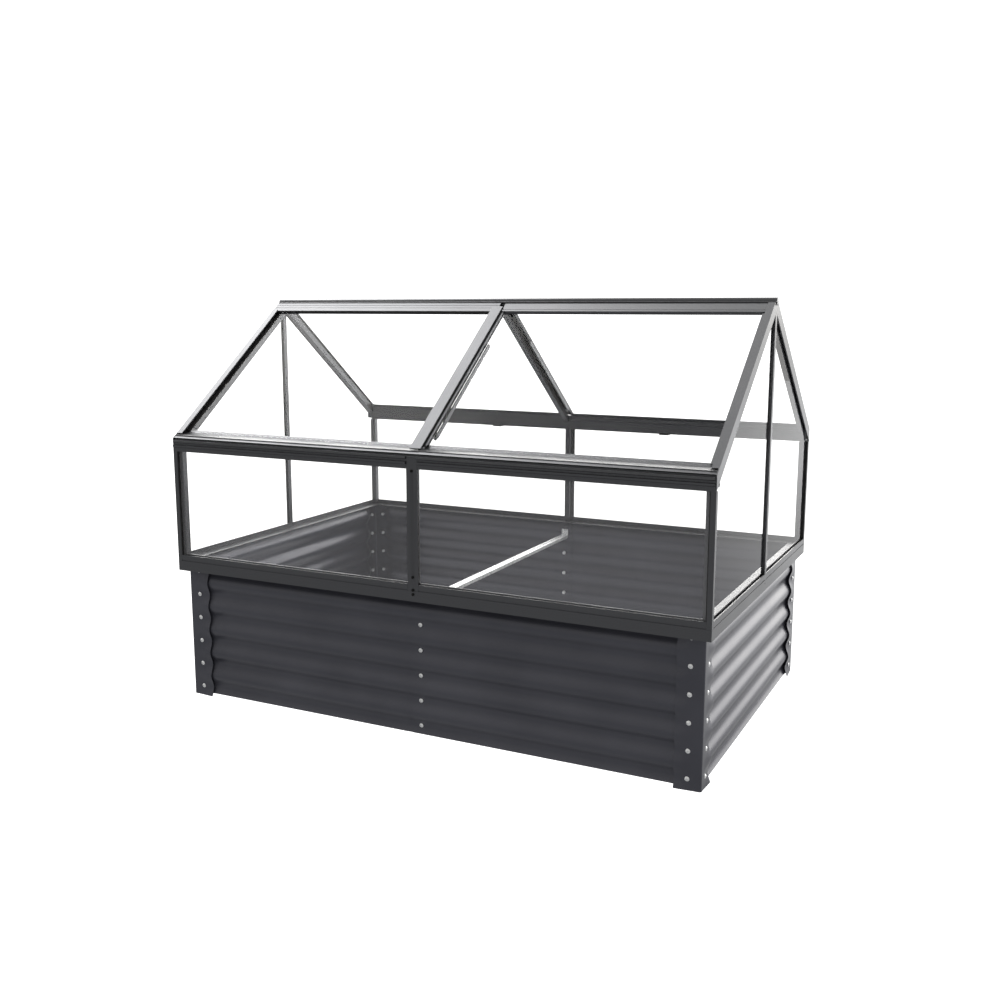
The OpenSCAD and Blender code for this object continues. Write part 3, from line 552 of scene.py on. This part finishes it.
# %% [markdown]
# ## Coated corrugated steel
# The bed is zinc-aluminium coated steel coil, painted charcoal before it was rolled. Coil paint
# is satin, so its highlights along the crests are broad and soft, under a thin clear coat.
# Rolling leaves a faint grain, and handling leaves broad, cloudy changes of gloss.

# %% Coil coat
CLOUD_MM = 170
DRAW_MM = 2.5


def coated_corrugated_steel():
    """Half metallic charcoal paint, clouded in tone and gloss, under a thin clear coat."""
    material, tree, place = new_material("coil_coated_steel_charcoal")
    cloud = add_node(tree, "ShaderNodeTexNoise", {"Scale": per_metre(CLOUD_MM), "Detail": 3.0},
                     {"Vector": place})
    grain = add_node(tree, "ShaderNodeTexNoise", {"Scale": per_metre(DRAW_MM), "Detail": 2.0},
                     {"Vector": place})
    tone = add_node(tree, "ShaderNodeValToRGB", links={"Fac": cloud.outputs["Fac"]})
    tone.color_ramp.elements[0].position = 0.32
    tone.color_ramp.elements[0].color = linear("#40414a")
    tone.color_ramp.elements[1].position = 0.7
    tone.color_ramp.elements[1].color = linear("#494a53")
    gloss = add_node(tree, "ShaderNodeMapRange",
                     {"From Min": 0.3, "From Max": 0.7, "To Min": 0.34, "To Max": 0.42},
                     {"Value": cloud.outputs["Fac"]})
    bump = add_node(tree, "ShaderNodeBump", {"Strength": 0.06, "Distance": 0.05 * MM},
                    {"Height": grain.outputs["Fac"]})
    coat = add_node(tree, "ShaderNodeBsdfPrincipled",
                    {"Metallic": 0.45, "Coat Weight": 0.3, "Coat Roughness": 0.22},
                    {"Base Color": tone.outputs["Color"], "Roughness": gloss.outputs["Result"],
                     "Normal": bump.outputs["Normal"]})
    give_surface(tree, coat.outputs["BSDF"])
    return material


COIL = coated_corrugated_steel()
print("made", COIL.name)

# %% [markdown]
# ## Zinc-plated steel
# Bolts, nuts and the strap across the bed are bright zinc-plated steel. The plating is a thin
# metal skin with a faint blue cast, a little uneven in gloss, and soft enough to carry the fine
# marks of its barrel.

# %% Zinc plate
BARREL_MM = 4.0


def zinc_plated_steel():
    """A pale plating, half metallic so that it stays light in a dim room."""
    material, tree, place = new_material("zinc_plated_steel")
    marks = add_node(tree, "ShaderNodeTexNoise", {"Scale": per_metre(BARREL_MM), "Detail": 4.0},
                     {"Vector": place})
    tone = add_node(tree, "ShaderNodeValToRGB", links={"Fac": marks.outputs["Fac"]})
    tone.color_ramp.elements[0].position = 0.35
    tone.color_ramp.elements[0].color = linear("#dfe1e3")
    tone.color_ramp.elements[1].position = 0.7
    tone.color_ramp.elements[1].color = linear("#f4f5f6")
    gloss = add_node(tree, "ShaderNodeMapRange",
                     {"From Min": 0.3, "From Max": 0.7, "To Min": 0.22, "To Max": 0.36},
                     {"Value": marks.outputs["Fac"]})
    plate = add_node(tree, "ShaderNodeBsdfPrincipled", {"Metallic": 0.5},
                     {"Base Color": tone.outputs["Color"], "Roughness": gloss.outputs["Result"]})
    give_surface(tree, plate.outputs["BSDF"])
    return material


ZINC = zinc_plated_steel()
print("made", ZINC.name)

# %% [markdown]
# ## Rubber, nylon and blacked steel
# The glass is bedded in strips of extruded EPDM rubber, which is matt and nearly black. The
# clips under the eaves are moulded nylon, with the faint spark-eroded grain of their mould. The
# cap screws are blacked in hot salts, which leaves a dark, slightly oily gloss.

# %% Black finishes
def black_finish(name, dark, pale, grain_mm, rough, metallic, height_mm):
    """A near-black finish: two tones and a bump, all from one noise with a grain of that size."""
    material, tree, place = new_material(name)
    grain = add_node(tree, "ShaderNodeTexNoise", {"Scale": per_metre(grain_mm), "Detail": 3.0},
                     {"Vector": place})
    tone = add_node(tree, "ShaderNodeValToRGB", links={"Fac": grain.outputs["Fac"]})
    tone.color_ramp.elements[0].position = 0.3
    tone.color_ramp.elements[0].color = linear(dark)
    tone.color_ramp.elements[1].position = 0.75
    tone.color_ramp.elements[1].color = linear(pale)
    bump = add_node(tree, "ShaderNodeBump", {"Strength": 0.3, "Distance": height_mm * MM},
                    {"Height": grain.outputs["Fac"]})
    skin = add_node(tree, "ShaderNodeBsdfPrincipled", {"Metallic": metallic, "Roughness": rough},
                    {"Base Color": tone.outputs["Color"], "Normal": bump.outputs["Normal"]})
    give_surface(tree, skin.outputs["BSDF"])
    return material


RUBBER = black_finish("epdm_rubber_extruded", "#0b0b0c", "#161617", 1.2, 0.72, 0.0, 0.08)
NYLON = black_finish("nylon_moulded_black", "#121214", "#1e1e20", 0.8, 0.5, 0.0, 0.05)
BLACKED = black_finish("steel_black_oxide", "#131313", "#262524", 1.5, 0.34, 0.8, 0.02)
print("made", RUBBER.name, NYLON.name, BLACKED.name)

# %% [markdown]
# ## Toughened glass
# The panes are 3 mm float glass, toughened. Float glass is flat and clear, so a pane is mostly
# seen by what it mirrors, more and more at a glancing view. That share is Fresnel's law, with
# an index well below that of soda-lime glass, because these panes show hardly a reflection. A
# refracting shader would bend light in and out again for nothing, so the pane is a clear shader
# and a mirror mixed by Fresnel where light enters. Where it leaves, and for shadow and diffuse
# rays, it is only clear. The panes of the two long walls also carry a thin grey film, which is
# dust and also a painted reflection of the pale floor that these panes mirror.

# %% Glass
FILM_MM = 120
PANE_INDEX = 1.12        # of the mirror alone
# The grey film is dust and also a painted reflection of the pale floor in the long walls' panes.
DUST_AND_REFLECTION_SHARE = 0.12        # of the light that the film on the long walls scatters


def toughened_glass():
    """Clear, with a mirror by Fresnel's law and a grey film on the panes that face front or back: dust, and
    also a painted reflection of the pale floor.
    """
    material, tree, place = new_material("toughened_float_glass")
    film = add_node(tree, "ShaderNodeTexNoise", {"Scale": per_metre(FILM_MM), "Detail": 2.0},
                    {"Vector": place})
    haze = add_node(tree, "ShaderNodeMapRange",
                    {"From Min": 0.35, "From Max": 0.75, "To Min": 0.0, "To Max": 0.05},
                    {"Value": film.outputs["Fac"]})
    clear = add_node(tree, "ShaderNodeBsdfTransparent", {"Color": (1, 1, 1, 1)})
    mirror = add_node(tree, "ShaderNodeBsdfGlossy", {"Color": (1, 1, 1, 1)},
                      {"Roughness": haze.outputs["Result"]})
    law = add_node(tree, "ShaderNodeFresnel", {"IOR": PANE_INDEX})
    ray = add_node(tree, "ShaderNodeLightPath")
    side = add_node(tree, "ShaderNodeNewGeometry")
    unlit = add_node(tree, "ShaderNodeMath", operation="MAXIMUM",
                     links={0: ray.outputs["Is Shadow Ray"], 1: ray.outputs["Is Diffuse Ray"]})
    clearing = add_node(tree, "ShaderNodeMath", operation="MAXIMUM",
                        links={0: unlit.outputs[0], 1: side.outputs["Backfacing"]})
    seen = add_node(tree, "ShaderNodeMath", {0: 1.0}, {1: clearing.outputs[0]}, operation="SUBTRACT")
    share = add_node(tree, "ShaderNodeMath", links={0: law.outputs["Fac"], 1: seen.outputs[0]},
                     operation="MULTIPLY")
    pane = add_node(tree, "ShaderNodeMixShader", links={0: share.outputs[0], 1: clear.outputs["BSDF"],
                                                        2: mirror.outputs["BSDF"]})
    # The grey film below is dust and also a painted reflection: on panes that face front or back it stands in
    # for the pale floor they mirror.
    lean = add_node(tree, "ShaderNodeSeparateXYZ", links={"Vector": side.outputs["True Normal"]})
    facing = add_node(tree, "ShaderNodeMath", links={0: lean.outputs["Y"]}, operation="ABSOLUTE")
    dust_and_reflection = add_node(tree, "ShaderNodeMapRange",
                    {"From Min": 0.7, "From Max": 0.95, "To Min": 0.0, "To Max": DUST_AND_REFLECTION_SHARE},
                    {"Value": facing.outputs[0]})
    dust_and_reflection_seen = add_node(tree, "ShaderNodeMath", links={0: dust_and_reflection.outputs["Result"], 1: seen.outputs[0]},
                     operation="MULTIPLY")
    grey = add_node(tree, "ShaderNodeBsdfDiffuse", {"Color": linear("#e4e4e8")})
    mix = add_node(tree, "ShaderNodeMixShader", links={0: dust_and_reflection_seen.outputs[0], 1: pane.outputs["Shader"],
                                                       2: grey.outputs["BSDF"]})
    give_surface(tree, mix.outputs["Shader"])
    return material


GLASS = toughened_glass()
print("made", GLASS.name)

# %% [markdown]
# ## Give each piece its finish
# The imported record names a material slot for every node, so one table from slot to material
# finishes the whole frame, and a node that is added later is finished by its slot.

# %% Assign
FINISH = {
    "bed_steel": COIL,
    "frame_aluminium": POWDER,
    "zinc_steel": ZINC,
    "glass": GLASS,
    "rubber": RUBBER,
    "black_steel": BLACKED,
    "black_plastic": NYLON,
}


def finish_with(piece, material):
    """Makes that material the piece's only one."""
    piece.data.materials.clear()
    piece.data.materials.append(material)


for part in frame["record"]["subparts"]:
    finish_with(frame["nodes"][part["node"]], FINISH[part["material_slot"]])
for piece in bed_pieces + [bolts]:
    finish_with(piece, FINISH[piece["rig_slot"]])
print("finishes", {slot: material.name for slot, material in FINISH.items()})

# %% [markdown]
# ## Floor and light
# The object stands on a plain pale floor under soft light. A dark, glossy object shows its room
# more than its own colour, so the room matters: a broad soft source up on the left, a bright
# wall behind and a dim front keep the front faces deep and the upper faces bright. The room is
# a world shader, a formula in the direction of the light, and one large lamp softens the left.

# %% Floor
FLOOR_HALF = 14.0
FLOOR_SEEN = 1.45        # glow of the floor where it is seen
FLOOR_MIRRORED = {"front": 0.45, "back": 2.0, "start": -0.5, "end": 5.0}


def studio_floor():
    """A square floor at z = 0, just under the object."""
    corners = np.array([[-1, -1, 0], [1, -1, 0], [1, 1, 0], [-1, 1, 0]], float) * FLOOR_HALF
    corners[:, 2] = -0.5 * MM
    mesh = bpy.data.meshes.new("floor")
    mesh.from_pydata(corners.tolist(), [], [(0, 1, 2, 3)])
    floor = bpy.data.objects.new("floor", mesh)
    bpy.context.scene.collection.objects.link(floor)
    return floor


def floor_paint():
    """Pale matt paint, lit from within so that it shows no shadow. Where it is only mirrored it
    is dim in front of the object and bright far behind it."""
    material, tree, place = new_material("studio_floor_pale")
    ray = add_node(tree, "ShaderNodeLightPath")
    paint = add_node(tree, "ShaderNodeBsdfDiffuse", {"Color": (0.12, 0.12, 0.12, 1)})
    lit = add_node(tree, "ShaderNodeEmission", {"Color": (1, 1, 1, 1), "Strength": FLOOR_SEEN})
    pale = add_node(tree, "ShaderNodeAddShader", links={0: paint.outputs["BSDF"], 1: lit.outputs["Emission"]})
    depth = add_node(tree, "ShaderNodeSeparateXYZ", links={"Vector": place})
    glow = add_node(tree, "ShaderNodeMapRange",
                    {"From Min": FLOOR_MIRRORED["start"], "From Max": FLOOR_MIRRORED["end"],
                     "To Min": FLOOR_MIRRORED["front"], "To Max": FLOOR_MIRRORED["back"]},
                    {"Value": depth.outputs["Y"]})
    far = add_node(tree, "ShaderNodeEmission", {"Color": (1, 1, 1, 1)}, {"Strength": glow.outputs["Result"]})
    mix = add_node(tree, "ShaderNodeMixShader",
                   links={0: ray.outputs["Is Camera Ray"], 1: far.outputs["Emission"],
                          2: pale.outputs["Shader"]})
    give_surface(tree, mix.outputs["Shader"])
    return material


floor = studio_floor()
floor.data.materials.append(floor_paint())
print("floor", 2 * FLOOR_HALF, "m square")

# %% World
ROOM_LEFT = (-0.74, 0.22, 0.63)   # direction of the broad soft source
ROOM_TINT = (1, 0.985, 0.955, 1)
ROOM = {"front": 0.55, "back": 3.4, "top": 0.2, "left": 5.6, "seen": 1.6}


def studio_room():
    """Light from a direction d: front + back * smooth(d.y) + top * smooth(d.z)
    + left * smooth(d . source), all dimmed below the horizon."""
    world = bpy.data.worlds.new("studio_room")
    bpy.context.scene.world = world
    world.use_nodes = True
    tree = world.node_tree
    tree.nodes.clear()
    way = add_node(tree, "ShaderNodeTexCoord").outputs["Generated"]
    parts = add_node(tree, "ShaderNodeSeparateXYZ", links={"Vector": way})
    toward = add_node(tree, "ShaderNodeVectorMath", {1: ROOM_LEFT}, {0: way}, operation="DOT_PRODUCT")
    shares = (
        (parts.outputs["Y"], 0.0, 0.9, ROOM["back"]),
        (parts.outputs["Z"], 0.35, 1.0, ROOM["top"]),
        (toward.outputs["Value"], 0.82, 1.0, ROOM["left"]),
    )
    total = None
    for value, start, end, strength in shares:
        share = add_node(tree, "ShaderNodeMapRange",
                         {"From Min": start, "From Max": end, "To Min": 0.0, "To Max": strength},
                         {"Value": value}, interpolation_type="SMOOTHSTEP")
        if total is None:
            total = add_node(tree, "ShaderNodeMath", {1: ROOM["front"]}, {0: share.outputs["Result"]},
                             operation="ADD")
        else:
            total = add_node(tree, "ShaderNodeMath", links={0: total.outputs[0], 1: share.outputs["Result"]},
                             operation="ADD")
    above = add_node(tree, "ShaderNodeMapRange",
                     {"From Min": -0.03, "From Max": 0.04, "To Min": 0.3, "To Max": 1.0},
                     {"Value": parts.outputs["Z"]})
    lit = add_node(tree, "ShaderNodeMath", links={0: total.outputs[0], 1: above.outputs["Result"]},
                   operation="MULTIPLY")
    ray = add_node(tree, "ShaderNodeLightPath")
    room = add_node(tree, "ShaderNodeBackground", {"Color": ROOM_TINT}, {"Strength": lit.outputs[0]})
    seen = add_node(tree, "ShaderNodeBackground", {"Color": (1, 1, 1, 1), "Strength": ROOM["seen"]})
    mix = add_node(tree, "ShaderNodeMixShader",
                   links={0: ray.outputs["Is Camera Ray"], 1: room.outputs["Background"],
                          2: seen.outputs["Background"]})
    add_node(tree, "ShaderNodeOutputWorld", links={"Surface": mix.outputs["Shader"]})


studio_room()
print("room", ROOM)

# %% Lamp
def softbox(name, place, aim, size, power):
    """A square area lamp at place, turned to look at aim."""
    data = bpy.data.lights.new(name, "AREA")
    data.shape = "SQUARE"
    data.size = size
    data.energy = power
    lamp = bpy.data.objects.new(name, data)
    lamp.location = place
    way = np.array(aim, float) - np.array(place, float)
    flat = math.hypot(way[0], way[1])
    lamp.rotation_euler = (math.pi / 2 - math.atan2(-way[2], flat), 0, math.atan2(-way[0], way[1]))
    bpy.context.scene.collection.objects.link(lamp)
    return lamp


key = softbox("softbox_left", (-2.6, 1.0, 3.4), (0, 0, 0.5), 3.0, 40)
key.visible_camera = False
print("softbox", tuple(key.location), key.data.energy, "W")
